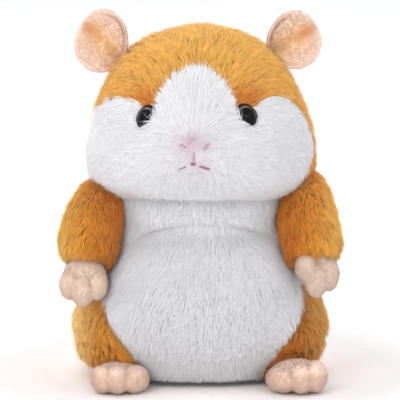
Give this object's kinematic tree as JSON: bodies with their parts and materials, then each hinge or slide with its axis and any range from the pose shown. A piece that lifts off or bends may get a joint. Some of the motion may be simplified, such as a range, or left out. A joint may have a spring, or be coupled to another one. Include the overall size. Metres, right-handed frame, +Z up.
{
  "type": "interactive plush pet",
  "caption": "Stuffed hamster toy with domed eyes, round ears and stub arms; a motor, gear train and crank inside nod the head; battery base with switch and door.",
  "frame": {"origin": "centre of the underside of the base plate, on the resting plane", "axes": "+Z up to the ears, the toy faces -Y, +X to the toy's own left side seen from the front as right"},
  "size_m": [0.125, 0.1073, 0.1645],
  "materials": {
    "orange_fur": "long pile plush",
    "white_fur": "soft short plush",
    "beige_pile": "short pile velboa",
    "ear_cloth": "short pile velboa",
    "ear_inner": "short pile velboa",
    "stuffing": "loose polyester fibre",
    "thread": "satin embroidery thread",
    "eye_black": "polished",
    "case_plastic": "moulded, fine spark texture",
    "case_top_plastic": "moulded",
    "gear_plastic": "moulded acetal",
    "steel": "plated",
    "dark_plastic": "moulded",
    "spring_metal": "nickel plated",
    "board": "solder mask",
    "battery_wrap": "plain wrap",
    "magnet": "plated",
    "wire_cover": "smooth"
  },
  "bodies": {
    "body": {"body_fur": "orange_fur", "belly_fur": "white_fur", "body_stuffing": "stuffing", "arm_left": "orange_fur", "arm_right": "orange_fur", "paw_left": "beige_pile", "paw_right": "beige_pile", "foot_left": "beige_pile", "foot_right": "beige_pile", "base_ring": "case_plastic", "case_base": "case_plastic", "case_top": "case_top_plastic", "case_screws": "steel", "gearbox_plate_left": "case_top_plastic", "gearbox_plate_right": "case_top_plastic", "gearbox_spacers": "gear_plastic", "gearbox_screws": "steel", "gear_shafts": "steel", "motor_can": "steel", "battery_front": "battery_wrap", "battery_middle": "battery_wrap", "battery_rear": "battery_wrap", "battery_contacts_left": "spring_metal", "battery_contacts_right": "spring_metal", "circuit_board": "board", "board_parts": "dark_plastic", "microphone": "steel", "speaker_frame": "magnet", "speaker_magnet": "magnet", "switch_body": "steel", "wires": "wire_cover", "nod_axle": "steel", "axle_clips": "spring_metal"},
    "head": {"head_fur": "orange_fur", "face_fur": "white_fur", "head_stuffing": "stuffing", "ear_left": "ear_cloth", "ear_right": "ear_cloth", "ear_lining_left": "ear_inner", "ear_lining_right": "ear_inner", "eye_left": "eye_black", "eye_right": "eye_black", "eye_washers": "gear_plastic", "nose_embroidery": "thread", "mouth_embroidery": "thread", "head_frame": "case_top_plastic", "head_lever": "gear_plastic", "head_screws": "steel"},
    "crank_gear": {"crank_gear": "gear_plastic"},
    "gear_2": {"gear_2": "gear_plastic"},
    "gear_1": {"gear_1": "gear_plastic"},
    "motor_rotor": {"motor_rotor": "steel"},
    "switch_knob": {"switch_knob": "dark_plastic"},
    "battery_door": {"battery_door": "case_plastic"},
    "door_screw": {"door_screw": "steel"},
    "speaker_cone": {"speaker_cone": "dark_plastic"}
  },
  "joints": [
    {"name": "head_nod", "type": "hinge", "parent": "body", "child": "head", "pos_m": [0, 0, 0.079], "axis": [1, 0, 0], "range_deg": [-6.75, 6.75]},
    {"name": "crank_turn", "type": "hinge", "parent": "body", "child": "crank_gear", "pos_m": [0, 0, 0.049], "axis": [1, 0, 0], "range_deg": [-90.5, 90.5]},
    {"name": "gear_2_turn", "type": "hinge", "parent": "body", "child": "gear_2", "pos_m": [0, 0.01081, 0.04507], "axis": [1, 0, 0], "range_deg": [-325, 325]},
    {"name": "gear_1_turn", "type": "hinge", "parent": "body", "child": "gear_1", "pos_m": [0, 0.00881, 0.03374], "axis": [1, 0, 0], "range_deg": [-1168, 1168]},
    {"name": "motor_turn", "type": "hinge", "parent": "body", "child": "motor_rotor", "pos_m": [0, -0.00252, 0.03174], "axis": [1, 0, 0], "range_deg": [-4205, 4205]},
    {"name": "power_switch", "type": "slide", "parent": "body", "child": "switch_knob", "axis": [1, 0, 0], "range_m": [0, 0.002]},
    {"name": "battery_door_lift", "type": "slide", "parent": "body", "child": "battery_door", "axis": [0, 0, -1], "range_m": [0, 0.03]},
    {"name": "door_screw_turn", "type": "hinge", "parent": "battery_door", "child": "door_screw", "pos_m": [0.0272, -0.0015, 0.001], "axis": [0, 0, 1], "continuous": true},
    {"name": "speaker_cone_travel", "type": "slide", "parent": "body", "child": "speaker_cone", "axis": [0, -1, 0], "range_m": [-0.0003, 0.0003], "stiffness_N_per_m": 800}
  ],
  "couplings": [
    {"joint": "crank_turn", "follows": "head_nod", "ratio": 13.333},
    {"joint": "gear_2_turn", "follows": "head_nod", "ratio": -48},
    {"joint": "gear_1_turn", "follows": "head_nod", "ratio": 172.8},
    {"joint": "motor_turn", "follows": "head_nod", "ratio": -622.08}
  ]
}
